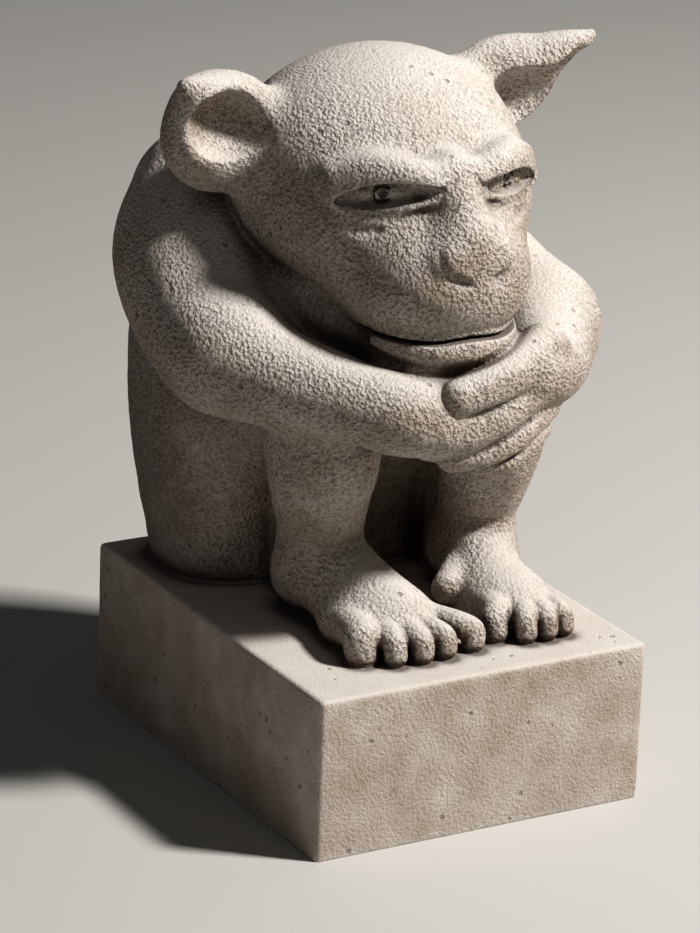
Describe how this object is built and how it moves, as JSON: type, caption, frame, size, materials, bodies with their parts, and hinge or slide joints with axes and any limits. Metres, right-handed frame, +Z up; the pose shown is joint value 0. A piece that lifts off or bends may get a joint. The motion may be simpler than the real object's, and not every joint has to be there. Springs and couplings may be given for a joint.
{
  "type": "gargoyle statue",
  "caption": "Crouched gargoyle hugging its knees, chin on its folded hands, cast in one piece with a plain block plinth; stands as garden or shelf decoration.",
  "frame": {"origin": "middle of the plinth's underside", "axes": "+Z up, -Y the way the face looks, +X the creature's left"},
  "size_m": [0.2328, 0.229, 0.351],
  "materials": {
    "cast_stone": "rough cast, fine pits and grains, weathered"
  },
  "bodies": {
    "root": {"gargoyle_statue": "cast_stone"}
  },
  "joints": []
}
